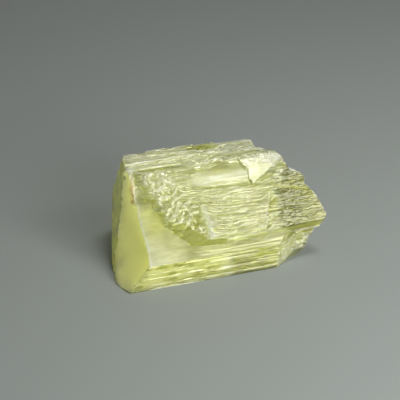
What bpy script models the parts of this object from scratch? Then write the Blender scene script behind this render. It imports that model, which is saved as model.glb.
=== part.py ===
"""Hiddenite crystal: one broken, striated prism of clear yellow-green spodumene, lying on its side.

It is one solid.  The long axis of the crystal, along which its striations and splinters run, is +X.
Sizes are in millimetres, measured from the front bottom left corner of the prism, and MM turns them
into metres.  The origin is at the middle of the underside, which is flat.

A point on one of the long faces is given as (x, up the face), and a level is a height above it.
"""

import math
import random

import bmesh
import bpy
from mathutils import Euler, Matrix, Vector

MM = 0.001
CORNER = (-14.85, -7.95, 0.0)

# Cross-section of the prism as (y, z), from the front foot up over the crest and down the rear.
FRONT_FOOT = (0.0, 0.0)
FRONT_SHOULDER = (0.6, 3.7)
CREST_FRONT = (9.5, 15.0)
CREST_BACK = (13.8, 15.3)
REAR_SHOULDER = (16.0, 9.0)
REAR_FOOT = (13.0, 0.0)
BLANK_LEFT = -6.0
BLANK_RIGHT = 38.0

# Striations: (steps up the face, deepest step).  The main face and the underside stay flat.
STRIATIONS = {
    (FRONT_FOOT, FRONT_SHOULDER): (9, 0.14),
    (CREST_FRONT, CREST_BACK): (8, 0.24),
    (CREST_BACK, REAR_SHOULDER): (7, 0.22),
    (REAR_SHOULDER, REAR_FOOT): (10, 0.20),
}
STRIATION_RISER = 0.02

# End facets as (a, b, c): the plane x = a + b * y + c * z.
LEFT_SMOOTH = (2.40, -0.631, 0.400)
LEFT_REAR = (-1.755, 0.090, 0.200)
LEFT_REAR_FOOT = (-2.82, 0.226, 0.051)
RIGHT_UPPER = (42.9, -0.35, -1.0)
RIGHT_LOWER = (33.0, -0.35, -0.186)
RIGHT_FOOT = (28.3, -0.10, 0.55)
RIGHT_UNDERCUT = (24.0, 0.25, 3.0)
FACET_BLOCK = 60.0
SECTION_MIDDLE = (8.0, 7.5)

# Below the smooth left facet the foot flares out to the front corner, round a shallow hollow.
FLARE_CREST = (3.35, 0.75, 3.75)
FLARE_REAR = (-1.66, 5.46, 0.0)
FLARE_MIDDLE = (-1.95, 3.4, 0.0)
FLARE_FRONT = (0.0, 0.0, 0.0)
FLARE_HOLLOW = (0.75, 2.2, 1.5)
FLARE_ROOT = [(6.0, 1.0, 0.05), (6.0, 6.0, 0.05), (6.0, 3.0, 3.0)]

# Growth layers: (outline, level of the top, bevel of the rim).
MAIN_LAYERS = {
    "upper layer": (
        [(10.0, 1.7), (15.2, 1.5), (21.5, 1.7), (25.6, 1.9), (36.0, 1.9), (36.0, 14.3),
         (3.1, 14.3), (3.3, 13.2), (4.0, 11.6), (5.0, 9.7), (5.9, 7.8), (6.7, 6.2), (7.5, 5.4)],
        0.90, 0.85,
    ),
    "lower block": (
        [(12.4, 3.1), (22.4, 3.2), (23.4, 6.2), (24.0, 8.4), (17.8, 9.2), (14.0, 8.1),
         (12.1, 7.6), (12.5, 5.0)],
        1.40, 0.30,
    ),
    "upper band": (
        [(9.6, 10.4), (17.0, 10.3), (21.3, 10.3), (20.8, 12.0), (21.4, 13.5), (14.5, 13.6),
         (9.0, 12.9)],
        1.30, 0.35,
    ),
    "right block": ([(24.6, 3.6), (36.0, 3.9), (36.0, 7.4), (24.3, 7.6)], 1.15, 0.20),
}
CREST_LAYERS = {
    "long crest layer": ([(-4.0, 1.3), (16.5, 1.6), (18.0, 4.5), (-4.0, 4.5)], 0.45, 0.10),
    "short crest layer": ([(5.5, 2.6), (14.0, 2.4), (14.6, 4.4), (6.2, 4.4)], 0.75, 0.15),
}
REAR_LAYERS = {
    "rear layer": ([(5.0, 1.2), (19.5, 1.0), (22.0, 6.8), (8.5, 7.4)], 0.35, 0.25),
    "rear block": ([(9.5, 2.4), (17.0, 2.2), (18.0, 5.0), (11.0, 5.2)], 0.65, 0.30),
}
LAYER_ROOT = 2.5

# Low broken steps scattered on the faces: (count, x range, range up the face, level below them).
TERRACES = {
    "main face": (16, (8.0, 27.5), (3.0, 13.0), 0.9),
    "crest": (6, (2.5, 19.0), (0.3, 2.6), 0.0),
    "rear": (6, (2.0, 22.0), (0.8, 7.5), -0.1),
}
TERRACE_LENGTH = (2.5, 8.0)
TERRACE_WIDTH = (0.5, 1.5)
TERRACE_HEIGHT = (0.10, 0.38)
TERRACE_RAGGED = 0.5
TERRACE_BEVEL = 0.06

# Thin splinters along the crystal: (count, x range, range up the face, level below them).
SPLINTERS = {
    "main face": (56, (7.5, 27.5), (2.6, 13.9), 0.9),
    "lower block": (14, (12.8, 23.0), (3.2, 8.0), 1.40),
    "upper band": (8, (10.0, 20.5), (10.7, 13.2), 1.30),
    "crest": (24, (3.0, 21.0), (0.3, 3.9), -0.05),
    "front foot": (12, (8.0, 22.0), (0.5, 3.4), -0.08),
    "rear": (16, (3.0, 24.0), (1.0, 8.5), -0.1),
}
SPLINTER_LENGTH = (1.8, 6.5)
SPLINTER_WIDTH = (0.12, 0.42)
SPLINTER_HEIGHT = (0.08, 0.32)
SPLINTER_ROOT = 0.7
SPLINTER_STRAY = 0.12
END_MARGIN = 0.9

# A bar's sharp side, as shares of the length and width of its root.
BAR_TIP_LENGTH = 0.55
BAR_TIP_WIDTH = 0.3

# The rounded lump at the upper right, and the break that ends the crest behind it.
LUMP_CENTRE = (23.4, 12.1, 0.55)
LUMP_RADII = (2.7, 2.0, 1.0)
CREST_BREAK_FOOT = (23.7, 9.9, 13.2)
CREST_BREAK_LEAN = math.radians(-18.0)
CREST_BREAK_SIZE = (14.0, 12.0, 8.0)

# The recess below the ledge at the front right, as (x, y), and the height of the ledge's underside.
RECESS_PLAN = [(22.6, -0.4), (26.6, 2.3), (38.0, 2.6), (38.0, -6.0), (22.6, -6.0)]
RECESS_BOTTOM = -4.0
LEDGE_UNDERSIDE = 5.05
RECESS_LEAN = math.radians(-6.0)

# Broken fibres that end the crystal on the right, in rows across its section.
STUMP_ROWS = [6.6, 8.2, 9.8, 11.4, 12.9]
STUMP_PITCH = 1.9
STUMP_FIRST = 0.9
STUMP_REAR = 14.2
STUMP_WIDTH = (1.5, 2.3)
STUMP_HEIGHT = (1.2, 1.85)
STUMP_PROUD = (-0.3, 0.6)
STUMP_TURN = 0.3
STUMP_ROOT = 7.0

# Seams in the main face: (start, end, half width, level of the floor).
SEAMS = [
    ((10.8, 10.1), (24.3, 9.8), 0.95, 0.25),
    ((12.0, 7.9), (18.0, 9.0), 0.65, 0.85),
    ((21.4, 13.4), (21.1, 10.0), 0.45, 0.80),
    ((22.6, 5.2), (24.3, 8.5), 1.60, 0.30),
    ((24.2, 7.2), (31.0, 7.0), 0.50, 0.60),
    ((13.0, 4.6), (22.0, 4.9), 0.40, 1.20),
]
SEAM_TOP = 3.0
PIT_CENTRE = (11.7, 5.1, 0.8)
PIT_RADII = (0.75, 0.75, 0.6)

# Chips broken out of the ragged edge between the smooth left facet and the rear one.
CHIP_COUNT = 15
CHIP_SIZE = (0.55, 1.05)
CHIP_HEIGHTS = (0.6, 14.6)
CHIP_OUTSIDE = 0.12

COLOUR = (0.62, 0.66, 0.26, 1.0)
ROUGHNESS = 0.12
TRANSMISSION = 0.9
REFRACTIVE_INDEX = 1.66


def metres(point):
    """Turn a point in millimetres into a vector in metres."""
    return Vector(point) * MM


def facet_x(facet, y, z):
    """Where an end facet lies along X, in millimetres."""
    a, b, c = facet
    return a + b * y + c * z


def right_end_x(y, z):
    """Where the right end of the crystal lies along X, in millimetres."""
    return min(facet_x(RIGHT_UPPER, y, z), facet_x(RIGHT_LOWER, y, z))


def face_frame(lower, upper):
    """Frame of a long face: X along the crystal, Y up the face, Z out of it, from its lower edge."""
    along = Vector((1.0, 0.0, 0.0))
    up_face = Vector((0.0, upper[0] - lower[0], upper[1] - lower[1])).normalized()
    frame = Matrix((along, up_face, along.cross(up_face))).transposed().to_4x4()
    frame.translation = metres((0.0, lower[0], lower[1]))
    return frame


MAIN_FACE = face_frame(FRONT_SHOULDER, CREST_FRONT)
CREST_FACE = face_frame(CREST_FRONT, CREST_BACK)
REAR_FACE = face_frame(REAR_SHOULDER, REAR_FOOT)
FACE_FRAMES = {
    "main face": MAIN_FACE,
    "lower block": MAIN_FACE,
    "upper band": MAIN_FACE,
    "crest": CREST_FACE,
    "front foot": face_frame(FRONT_FOOT, FRONT_SHOULDER),
    "rear": REAR_FACE,
}


def step_limit_x(frame, up_face):
    """How far right a step or splinter may run at a height on a face, short of the broken end."""
    spot = frame @ metres((0.0, up_face, 0.0)) / MM
    ends = [right_end_x(spot.y, spot.z)]
    if spot.z > CREST_BREAK_FOOT[2]:
        ends.append(CREST_BREAK_FOOT[0])
    if spot.z < LEDGE_UNDERSIDE and spot.y < RECESS_PLAN[1][1]:
        ends.append(RECESS_PLAN[0][0])
    return min(ends) - END_MARGIN


def new_collection(name, parent):
    """Make a collection inside another one."""
    collection = bpy.data.collections.new(name)
    parent.children.link(collection)
    return collection


def new_object(name, bm, collection, frame=None):
    """Turn a bmesh into an object, placed on the crystal by a frame."""
    bmesh.ops.recalc_face_normals(bm, faces=bm.faces)
    mesh = bpy.data.meshes.new(name)
    bm.to_mesh(mesh)
    bm.free()
    obj = bpy.data.objects.new(name, mesh)
    obj.matrix_world = Matrix.Translation(metres(CORNER)) @ (frame or Matrix.Identity(4))
    collection.objects.link(obj)
    return obj


def extruded(points, step):
    """Extrude a flat outline, whose points are in millimetres, by a step."""
    bm = bmesh.new()
    base = bm.faces.new([bm.verts.new(metres(point)) for point in points])
    swept = bmesh.ops.extrude_face_region(bm, geom=[base])["geom"]
    moved = [item for item in swept if isinstance(item, bmesh.types.BMVert)]
    bmesh.ops.translate(bm, verts=moved, vec=metres(step))
    return bm


def striated_outline():
    """Cross-section of the prism, its long faces broken into small uneven steps."""
    rng = random.Random(5)
    corners = [FRONT_FOOT, FRONT_SHOULDER, CREST_FRONT, CREST_BACK, REAR_SHOULDER, REAR_FOOT]
    outline = []
    for lower, upper in zip(corners, corners[1:] + corners[:1]):
        outline.append(Vector(lower))
        steps, depth = STRIATIONS.get((lower, upper), (0, 0.0))
        run = Vector(upper) - Vector(lower)
        inward = Vector((-run.y, run.x)).normalized()
        ends = [(i + rng.uniform(-0.35, 0.35)) / steps for i in range(1, steps)]
        for start, end in zip(ends, ends[1:]):
            level = inward * rng.uniform(0.15, 1.0) * depth
            outline.append(Vector(lower) + run * start + level)
            outline.append(Vector(lower) + run * (end - STRIATION_RISER) + level)
    return [(BLANK_LEFT, point.x, point.y) for point in outline]


def make_blank(collection):
    """The prism before its ends are broken: the striated cross-section run along the crystal."""
    bm = extruded(striated_outline(), (BLANK_RIGHT - BLANK_LEFT, 0.0, 0.0))
    return new_object("hiddenite_crystal", bm, collection)


def make_layer(name, outline, level, bevel, frame, collection):
    """A raised growth layer with a bevelled rim, rooted below its face."""
    bm = extruded([(x, y, -LAYER_ROOT) for x, y in outline], (0.0, 0.0, LAYER_ROOT + level))
    just_below_top = (level - 0.01) * MM
    rim = [edge for edge in bm.edges if all(vert.co.z > just_below_top for vert in edge.verts)]
    bmesh.ops.bevel(bm, geom=rim, offset=bevel * MM, segments=1, affect="EDGES", profile=0.5)
    new_object(name, bm, collection, frame)


def make_terraces(name, collection, seed):
    """Low broken steps on one face: four-sided layers whose long rims follow the crystal."""
    count, along, up_face, level = TERRACES[name]
    frame = FACE_FRAMES[name]
    rng = random.Random(seed)
    for index in range(count):
        x, up = rng.uniform(*along), rng.uniform(*up_face)
        length, width = rng.uniform(*TERRACE_LENGTH), rng.uniform(*TERRACE_WIDTH)
        far = min(x + length, step_limit_x(frame, up))
        near = min(x, far - TERRACE_LENGTH[0])
        ragged = [rng.uniform(-TERRACE_RAGGED, TERRACE_RAGGED) for _ in range(4)]
        outline = [
            (near + ragged[0], up + width),
            (near + ragged[1], up),
            (far + ragged[2], up),
            (far + ragged[3], up + width),
        ]
        top = level + rng.uniform(*TERRACE_HEIGHT)
        label = f"{name} terrace {index}"
        make_layer(label, outline, top, TERRACE_BEVEL, frame, collection)


def make_growth_layers(collection):
    """Raised growth layers on the main face, the crest and the rear, and the low steps on them."""
    groups = ((MAIN_LAYERS, MAIN_FACE), (CREST_LAYERS, CREST_FACE), (REAR_LAYERS, REAR_FACE))
    for layers, frame in groups:
        for name, (outline, level, bevel) in layers.items():
            make_layer(name, outline, level, bevel, frame, collection)
    for seed, name in enumerate(TERRACES):
        make_terraces(name, collection, seed + 60)


def make_facet_block(name, facet, side, collection):
    """A block with one face on an end facet; side is -1 at the left end and 1 at the right."""
    normal = Vector((1.0, -facet[1], -facet[2])).normalized() * side
    middle = metres((facet_x(facet, *SECTION_MIDDLE), *SECTION_MIDDLE))
    bm = bmesh.new()
    bmesh.ops.create_cube(bm, size=FACET_BLOCK * MM)
    bmesh.ops.translate(bm, verts=bm.verts, vec=metres((0.0, 0.0, FACET_BLOCK / 2.0)))
    turn = normal.to_track_quat("Z", "Y").to_matrix().to_4x4()
    new_object(name, bm, collection, Matrix.Translation(middle) @ turn)


def make_crest_break(collection):
    """The block that is missing behind the lump, where the crest has broken off."""
    bm = bmesh.new()
    bmesh.ops.create_cube(bm, size=1.0)
    bmesh.ops.translate(bm, verts=bm.verts, vec=(0.5, 0.5, 0.5))
    bmesh.ops.scale(bm, verts=bm.verts, vec=metres(CREST_BREAK_SIZE))
    lean = Matrix.Rotation(CREST_BREAK_LEAN, 4, "Y")
    place = Matrix.Translation(metres(CREST_BREAK_FOOT)) @ lean
    new_object("crest break", bm, collection, place)


def make_recess(collection):
    """The shape that is missing below the ledge at the front right."""
    outline = [(x, y, RECESS_BOTTOM) for x, y in RECESS_PLAN]
    bm = extruded(outline, (0.0, 0.0, LEDGE_UNDERSIDE - RECESS_BOTTOM))
    new_object("recess", bm, collection, Matrix.Rotation(RECESS_LEAN, 4, "X"))


def make_broken_faces(collection):
    """Everything beyond the crystal's two ends, and the recess below its ledge."""
    make_facet_block("smooth left facet", LEFT_SMOOTH, -1, collection)
    make_facet_block("rear left facet", LEFT_REAR, -1, collection)
    make_facet_block("rear left foot", LEFT_REAR_FOOT, -1, collection)
    make_facet_block("upper right break", RIGHT_UPPER, 1, collection)
    make_facet_block("lower right break", RIGHT_LOWER, 1, collection)
    make_facet_block("right foot", RIGHT_FOOT, 1, collection)
    make_facet_block("undercut", RIGHT_UNDERCUT, 1, collection)
    make_crest_break(collection)
    make_recess(collection)


def make_flare(collection):
    """The flared foot of the smooth left facet, as two hulls that meet in its hollow."""
    halves = {
        "front flare": (FLARE_FRONT, FLARE_MIDDLE, FLARE_CREST),
        "rear flare": (FLARE_MIDDLE, FLARE_REAR),
    }
    for name, corners in halves.items():
        bm = bmesh.new()
        points = [bm.verts.new(metres(point)) for point in (*corners, FLARE_HOLLOW, *FLARE_ROOT)]
        hull = bmesh.ops.convex_hull(bm, input=points)
        inside = set(hull["geom_interior"]) | set(hull["geom_unused"])
        bmesh.ops.delete(bm, geom=list(inside), context="VERTS")
        new_object(name, bm, collection)


def make_lump(name, centre, radii, collection):
    """A flattened ball on the main face: a rounded lump, or the shape of a pit."""
    bm = bmesh.new()
    bmesh.ops.create_icosphere(bm, subdivisions=2, radius=MM)
    bmesh.ops.scale(bm, verts=bm.verts, vec=radii)
    new_object(name, bm, collection, MAIN_FACE @ Matrix.Translation(metres(centre)))


def make_stump(name, y, z, rng, collection):
    """A broken fibre: a bar along the crystal whose end stands proud of the right end."""
    width, height = rng.uniform(*STUMP_WIDTH), rng.uniform(*STUMP_HEIGHT)
    proud = rng.uniform(*STUMP_PROUD)
    bm = bmesh.new()
    bmesh.ops.create_cube(bm, size=1.0)
    bmesh.ops.scale(bm, verts=bm.verts, vec=(1.0, width, height))
    turn = Matrix.Rotation(rng.uniform(-STUMP_TURN, STUMP_TURN), 4, "X")
    bmesh.ops.transform(bm, verts=bm.verts, matrix=turn)
    for vert in bm.verts:
        across = (y + vert.co.y, z + vert.co.z)
        at_end = vert.co.x > 0.0
        x = right_end_x(*across) + proud if at_end else right_end_x(y, z) - STUMP_ROOT
        vert.co = metres((x, *across))
    new_object(name, bm, collection)


def make_stumps(collection):
    """Rows of broken fibres across the section, from just behind the main face to the rear."""
    rng = random.Random(23)
    slope = (CREST_FRONT[0] - FRONT_SHOULDER[0]) / (CREST_FRONT[1] - FRONT_SHOULDER[1])
    for row, z in enumerate(STUMP_ROWS):
        first = FRONT_SHOULDER[0] + slope * (z - FRONT_SHOULDER[1]) + STUMP_FIRST
        count = int((STUMP_REAR - first) / STUMP_PITCH) + 1
        for index in range(count):
            y = first + index * STUMP_PITCH + rng.uniform(-0.2, 0.2)
            make_stump(f"stump {row} {index}", y, z + rng.uniform(-0.3, 0.3), rng, collection)


def make_bar(name, ends, half_width, root, tip, frame, collection):
    """A wedge-shaped bar between two points of a face: wide at its root level, sharp at its tip."""
    start, end = (Vector(point) for point in ends)
    run = end - start
    bm = bmesh.new()
    bmesh.ops.create_cube(bm, size=1.0)
    for vert in bm.verts:
        at_tip = vert.co.z > 0.0
        length = run.length * (BAR_TIP_LENGTH if at_tip else 1.0)
        width = 2.0 * half_width * (BAR_TIP_WIDTH if at_tip else 1.0)
        vert.co = metres((vert.co.x * length, vert.co.y * width, tip if at_tip else root))
    middle = (start + end) / 2.0
    turn = Matrix.Rotation(math.atan2(run.y, run.x), 4, "Z")
    place = Matrix.Translation(metres((middle.x, middle.y, 0.0))) @ turn
    new_object(name, bm, collection, frame @ place)


def make_splinters(name, collection, seed):
    """Thin splinters scattered along one face, parallel to the crystal."""
    count, along, up_face, level = SPLINTERS[name]
    frame = FACE_FRAMES[name]
    rng = random.Random(seed)
    for index in range(count):
        x, up, length = rng.uniform(*along), rng.uniform(*up_face), rng.uniform(*SPLINTER_LENGTH)
        far = min(x + length, step_limit_x(frame, up))
        near = min(x, far - SPLINTER_LENGTH[0])
        ends = ((near, up), (far, up + rng.uniform(-SPLINTER_STRAY, SPLINTER_STRAY)))
        half_width = rng.uniform(*SPLINTER_WIDTH)
        tip = level + rng.uniform(*SPLINTER_HEIGHT)
        label = f"{name} splinter {index}"
        make_bar(label, ends, half_width, level - SPLINTER_ROOT, tip, frame, collection)


def make_fragments(collection):
    """What stands proud of the broken faces: the flared foot, lump, stumps and splinters."""
    make_flare(collection)
    make_lump("white lump", LUMP_CENTRE, LUMP_RADII, collection)
    make_stumps(collection)
    for seed, name in enumerate(SPLINTERS):
        make_splinters(name, collection, seed)


def make_chips(collection):
    """Small chips out of the ragged edge of the smooth left facet."""
    rng = random.Random(41)
    low, high = CHIP_HEIGHTS
    for index in range(CHIP_COUNT):
        z = low + (high - low) * (index + rng.uniform(-0.4, 0.4)) / (CHIP_COUNT - 1)
        rise = LEFT_SMOOTH[0] - LEFT_REAR[0] + (LEFT_SMOOTH[2] - LEFT_REAR[2]) * z
        y = rise / (LEFT_REAR[1] - LEFT_SMOOTH[1])
        x = facet_x(LEFT_REAR, y, z) - CHIP_OUTSIDE
        bm = bmesh.new()
        bmesh.ops.create_cube(bm, size=rng.uniform(*CHIP_SIZE) * MM)
        turn = Euler([rng.uniform(0.0, math.pi) for _ in range(3)]).to_matrix().to_4x4()
        new_object(f"chip {index}", bm, collection, Matrix.Translation(metres((x, y, z))) @ turn)


def make_crevices(collection):
    """Seams, a pit and chips cut into the finished faces."""
    for index, (start, end, half_width, floor) in enumerate(SEAMS):
        ends = (start, end)
        make_bar(f"seam {index}", ends, half_width, SEAM_TOP, floor, MAIN_FACE, collection)
    make_lump("pit", PIT_CENTRE, PIT_RADII, collection)
    make_chips(collection)


def combine(crystal, shapes, operation):
    """Add a collection of shapes to the crystal, or cut them out of it."""
    for obj in shapes.objects:
        obj.hide_render = True
        obj.display_type = "WIRE"
    boolean = crystal.modifiers.new(shapes.name, "BOOLEAN")
    boolean.operand_type = "COLLECTION"
    boolean.collection = shapes
    boolean.operation = operation
    boolean.solver = "EXACT"


def make_material():
    """Clear yellow-green spodumene."""
    material = bpy.data.materials.new("hiddenite")
    material.use_nodes = True
    shader = material.node_tree.nodes["Principled BSDF"]
    shader.inputs["Base Color"].default_value = COLOUR
    shader.inputs["Roughness"].default_value = ROUGHNESS
    shader.inputs["Metallic"].default_value = 0.0
    shader.inputs["Transmission Weight"].default_value = TRANSMISSION
    shader.inputs["IOR"].default_value = REFRACTIVE_INDEX
    return material


def main():
    """Build the crystal."""
    for obj in list(bpy.data.objects):
        bpy.data.objects.remove(obj, do_unlink=True)
    root = bpy.context.scene.collection
    crystal = make_blank(new_collection("hiddenite crystal", root))
    crystal.data.materials.append(make_material())
    cutters = new_collection("cutters", root)
    for name, make_shapes, operation in (
        ("growth layers", make_growth_layers, "UNION"),
        ("broken faces", make_broken_faces, "DIFFERENCE"),
        ("fragments", make_fragments, "UNION"),
        ("crevices", make_crevices, "DIFFERENCE"),
    ):
        shapes = new_collection(name, cutters)
        make_shapes(shapes)
        combine(crystal, shapes, operation)


main()
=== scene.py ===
"""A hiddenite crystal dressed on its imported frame: the broken, striated prism, its clear finish and a studio.

The crystal's long axis is +X. Sizes in the classes are in millimetres from the prism's front bottom
left corner; only meshes, lights and the finish's grain are in metres. A place on a long face is given
as x along the crystal and s up the face, and a level is a height above that face. A pair of places is
where something starts to come in and where it is all there; the second may be the lower.
"""

import logging
import math
from dataclasses import dataclass, field
from enum import Enum

import bpy
import numpy as np
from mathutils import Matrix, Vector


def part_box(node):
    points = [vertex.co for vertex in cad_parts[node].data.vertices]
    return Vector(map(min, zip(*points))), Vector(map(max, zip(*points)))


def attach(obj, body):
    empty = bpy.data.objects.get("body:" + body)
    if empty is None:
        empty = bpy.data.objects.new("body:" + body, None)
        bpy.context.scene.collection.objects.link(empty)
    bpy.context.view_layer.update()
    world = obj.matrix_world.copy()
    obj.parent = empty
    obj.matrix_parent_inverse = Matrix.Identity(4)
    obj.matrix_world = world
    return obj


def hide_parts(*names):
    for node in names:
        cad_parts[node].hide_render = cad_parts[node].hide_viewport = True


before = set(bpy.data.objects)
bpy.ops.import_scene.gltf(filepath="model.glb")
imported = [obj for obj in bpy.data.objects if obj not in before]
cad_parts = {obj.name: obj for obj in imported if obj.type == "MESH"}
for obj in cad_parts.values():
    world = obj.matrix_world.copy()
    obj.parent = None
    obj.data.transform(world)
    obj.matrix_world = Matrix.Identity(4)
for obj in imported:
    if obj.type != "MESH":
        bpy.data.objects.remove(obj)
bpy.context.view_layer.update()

log = logging.getLogger("hiddenite")

Array = np.ndarray
Pair = tuple[float, float]
Triple = tuple[float, float, float]
Tones = dict[str, Array]
Socket = bpy.types.NodeSocket

MM = 0.001
NODE = "hiddenite_crystal"
IMAGE_WIDTH = 400
SHARP_ANGLE = math.radians(28.0)
# The milky, frosted and dark olive tones also carry painted highlight and painted shade.
TONES = ("gold", "satin", "milk_and_highlight", "frost_and_highlight", "smoke", "deep_and_shade", "stain")


# ---- Random fields and soft measures ----


def hashed(a: Array, b: Array, seed: int) -> Array:
    """Turn pairs of whole numbers into even random values.

    Both are multiplied by large odd constants and added to the seed; the high bits are folded into
    the low ones, and the low 24 bits are read as a share of one.

    Args:
        a, b: The whole numbers.
        seed: Chooses one field out of many.

    Returns:
        Values from 0 up to 1.
    """
    mask = 0xFFFFFFFF
    h = (np.asarray(a, np.int64) * 374761393 + np.asarray(b, np.int64) * 668265263 + seed * 977) & mask
    h = ((h ^ (h >> 13)) * 1274126177) & mask
    h = ((h ^ (h >> 16)) * 668265263) & mask
    return ((h ^ (h >> 15)) & 0xFFFFFF) / float(0x1000000)


def held(v: Array) -> Array:
    """Hold values between 0 and 1."""
    return np.clip(v, 0.0, 1.0)


def ease(t: Array) -> Array:
    """Smooth step: three times the square less twice the cube of t, held between 0 and 1."""
    t = held(t)
    return t * t * (3.0 - 2.0 * t)


def ramp(v: Array, start: float, end: float) -> Array:
    """Smooth step of a measure: 0 up to the start and 1 from the end on."""
    return ease((v - start) / (end - start))


def swell(a: Array, b: Array, seed: int) -> Array:
    """Smooth random field: random values at whole-number points, eased into each other.

    Args:
        a, b: Coordinates, in cells.
        seed: Chooses one field out of many.

    Returns:
        Values from -1 to 1.
    """
    ia, ib = np.floor(a), np.floor(b)
    ta, tb = ease(a - ia), ease(b - ib)
    low = hashed(ia, ib, seed) * (1.0 - ta) + hashed(ia + 1, ib, seed) * ta
    high = hashed(ia, ib + 1, seed) * (1.0 - ta) + hashed(ia + 1, ib + 1, seed) * ta
    return 2.0 * (low * (1.0 - tb) + high * tb) - 1.0


@dataclass(frozen=True)
class Rubble:
    """Broken random field, with the size of its coarsest cells along the crystal and up the face."""

    reach: float
    along: float
    up: float
    seed: int
    octaves: int = 3

    def octave(self, x: Array, s: Array, k: int) -> Array:
        """The swell number k of the field, which is 2 ** k times as fine and as low as the first."""
        return swell(x / self.along * 2**k + 17.3 * k, s / self.up * 2**k - 9.1 * k, self.seed + k) / 2**k

    def at(self, x: Array, s: Array) -> Array:
        """The field, between about minus and plus its reach: the sum of its swells."""
        return self.reach / 1.9 * sum(self.octave(x, s, k) for k in range(self.octaves))


@dataclass(frozen=True)
class Wander:
    """How far a form's borders wander: one field along the crystal and one up the face."""

    along: Rubble
    up: Rubble

    def moved(self, x: Array, s: Array) -> tuple[Array, Array]:
        """The places, each moved by its field."""
        return x + self.along.at(x, s), s + self.up.at(x, s)


@dataclass(frozen=True)
class Patch:
    """A soft-edged patch: its strength, and the pairs of places between which it comes in."""

    strength: float
    along: tuple[Pair, ...] = ()
    up: tuple[Pair, ...] = ()

    def at(self, x: Array, s: Array) -> Array:
        """The patch: its strength times the smooth step of each pair."""
        steps = [ramp(x, *pair) for pair in self.along] + [ramp(s, *pair) for pair in self.up]
        return self.strength * math.prod(steps)


@dataclass(frozen=True)
class Spot:
    """A soft oval spot: its strength, centre and radii."""

    strength: float
    centre: Pair
    radii: Pair

    def at(self, x: Array, s: Array) -> Array:
        """The spot: its strength in the middle, fading outwards as a bell."""
        far = ((x - self.centre[0]) / self.radii[0]) ** 2 + ((s - self.centre[1]) / self.radii[1]) ** 2
        return self.strength * np.exp(-far)


def blurred(grid: Array, along: int, across: int) -> Array:
    """Soften the values on a grid: a value becomes half of itself and a quarter of each neighbour.

    Args:
        grid: The values.
        along: Rounds along the first axis.
        across: Rounds along the second axis, which closes on itself.

    Returns:
        The softened values.
    """
    for _ in range(along):
        padded = np.concatenate([grid[:1], grid, grid[-1:]])
        grid = 0.5 * grid + 0.25 * (padded[:-2] + padded[2:])
    for _ in range(across):
        grid = 0.5 * grid + 0.25 * (np.roll(grid, 1, axis=1) + np.roll(grid, -1, axis=1))
    return grid


def from_line(x: Array, s: Array, start: Pair, end: Pair) -> Array:
    """Distance from a straight line: to the foot of the perpendicular, or to the nearer end past it.

    Args:
        x, s: Places along the crystal and up the face.
        start, end: The ends of the line.

    Returns:
        Distance in millimetres.
    """
    dx, ds = end[0] - start[0], end[1] - start[1]
    t = held(((x - start[0]) * dx + (s - start[1]) * ds) / (dx * dx + ds * ds))
    return np.hypot(x - start[0] - t * dx, s - start[1] - t * ds)


def placed(name: str, data: bpy.types.ID) -> bpy.types.Object:
    """Add an object to the scene.

    Args:
        name: The object's name.
        data: Its mesh, light or camera.

    Returns:
        The object.
    """
    thing = bpy.data.objects.new(name, data)
    bpy.context.scene.collection.objects.link(thing)
    return thing


# ---- Forms on a face ----


@dataclass(frozen=True)
class GrowthLayer:
    """A raised layer of the crystal with a sloping rim."""

    outline: tuple[Pair, ...]
    level: float
    bevel: float

    def inside(self, x: Array, s: Array) -> Array:
        """How far a place lies inside the outline.

        The distance to the nearest side of the outline, negative outside it. A place is inside when
        a line from it crosses the outline an odd number of times.

        Args:
            x, s: Places along the crystal and up the face.

        Returns:
            Distance in millimetres.
        """
        nearest = np.full(np.broadcast(x, s).shape, np.inf)
        odd = np.zeros(nearest.shape, bool)
        for (x0, s0), (x1, s1) in zip(self.outline, self.outline[1:] + self.outline[:1]):
            nearest = np.minimum(nearest, from_line(x, s, (x0, s0), (x1, s1)))
            if s0 != s1:
                odd ^= ((s0 > s) != (s1 > s)) & (x < (x1 - x0) * (s - s0) / (s1 - s0) + x0)
        return np.where(odd, nearest, -nearest)

    def height(self, x: Array, s: Array) -> Array:
        """Height of the layer: its level, less what its rim slopes away near the outline."""
        return self.level * held(self.inside(x, s) / self.bevel)


class Texture:
    """Something that gives each place of a face a height and a shade. On its own it gives none."""

    def surface(self, x: Array, s: Array) -> tuple[Array, Array]:
        """The texture's height and shade."""
        return 0.0 * x, 0.0 * x

    def height(self, x: Array, s: Array) -> Array:
        """The texture's height."""
        return self.surface(x, s)[0]

    def shade(self, x: Array, s: Array) -> Array:
        """How much lighter than its neighbours each piece of the texture is."""
        return self.surface(x, s)[1]


@dataclass(frozen=True)
class Fibres(Texture):
    """Broken fibres that lie along the crystal, side by side, each broken off at its own lengths."""

    width: float
    length: float
    depth: float
    seed: int

    def surface(self, x: Array, s: Array) -> tuple[Array, Array]:
        """The fibres' height and shade.

        The face is divided into rows whose borders wander slowly, and each row into lengths from its
        own random start. A length has one random height, a small tilt across it and one shade.

        Args:
            x, s: Places along the crystal and up the face.

        Returns:
            Height between about minus and plus half the depth, and shade from -0.5 to 0.5.
        """
        uneven = swell(x / (1.7 * self.length), s / (4.0 * self.width), self.seed)
        across = s / self.width + 0.28 * uneven + 1.1 * swell(0.0 * x, s / (2.6 * self.width), self.seed + 6)
        row = np.floor(across)
        stretch = 0.4 + 1.2 * hashed(row, row * 0, self.seed + 1)
        along = x / (self.length * stretch) + 40.0 * hashed(row, row * 0 + 1, self.seed + 2)
        along = along + Rubble(0.30, 0.8 * self.width, self.length, self.seed + 5).at(s, x)
        level, tilt, shade = [hashed(row, np.floor(along), self.seed + k) - 0.5 for k in (3, 4, 8)]
        return self.depth * (level + 0.5 * tilt * (across - row - 0.5)), shade


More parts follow.
